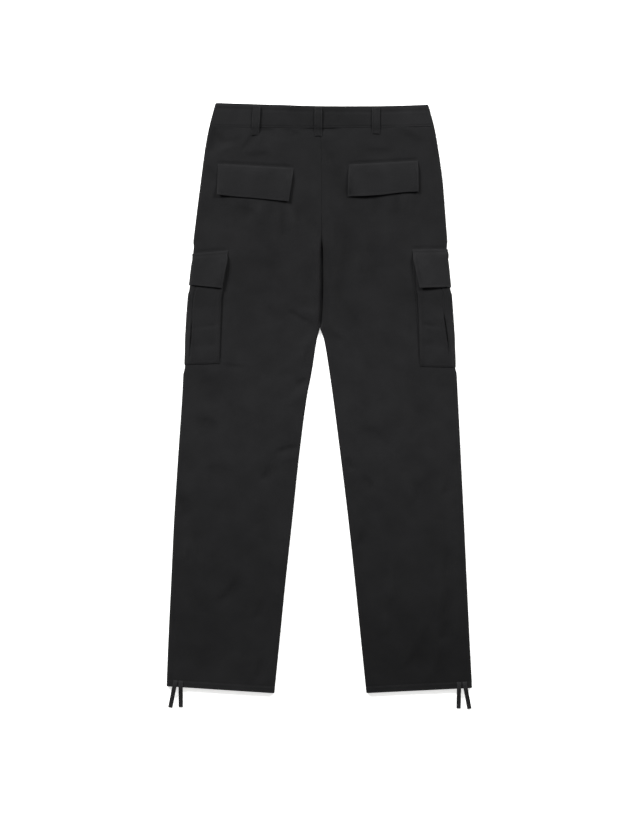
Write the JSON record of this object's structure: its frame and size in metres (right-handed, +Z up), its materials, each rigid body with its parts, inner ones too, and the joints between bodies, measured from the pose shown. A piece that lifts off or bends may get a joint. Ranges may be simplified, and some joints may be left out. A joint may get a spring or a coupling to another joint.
{
  "type": "cargo pants, laid flat",
  "caption": "Straight-leg cargo pants laid flat with the back up: waistband with belt loops, flapped seat pockets, cargo pockets on the side seams and hems with tape ties.",
  "frame": {"origin": "on the surface the trousers lie on, under the middle of their outline without the tie ends", "axes": "+Y along the trousers from hem to waist, +X to the wearer's right, +Z up, out of the back of the trousers"},
  "size_m": [0.5622, 1.1154, 0.016],
  "materials": {
    "twill": "charcoal cotton twill, matt",
    "tape": "black woven cotton tape",
    "button": "black horn-like resin, satin"
  },
  "bodies": {
    "root": {"back_left": "twill", "back_right": "twill", "front_left": "twill", "front_right": "twill", "waistband_back": "twill", "waistband_front_left": "twill", "waistband_front_right": "twill", "waist_button": "button", "belt_loop_back_left": "twill", "belt_loop_back_centre": "twill", "belt_loop_back_right": "twill", "belt_loop_front_left": "twill", "belt_loop_front_right": "twill", "seat_flap_left": "twill", "seat_flap_right": "twill", "cargo_pocket_left": "twill", "cargo_pocket_right": "twill", "cargo_flap_left": "twill", "cargo_flap_right": "twill", "hem_tie_left_outer": "tape", "hem_tie_left_inner": "tape", "hem_tie_right_inner": "tape", "hem_tie_right_outer": "tape"}
  },
  "joints": []
}
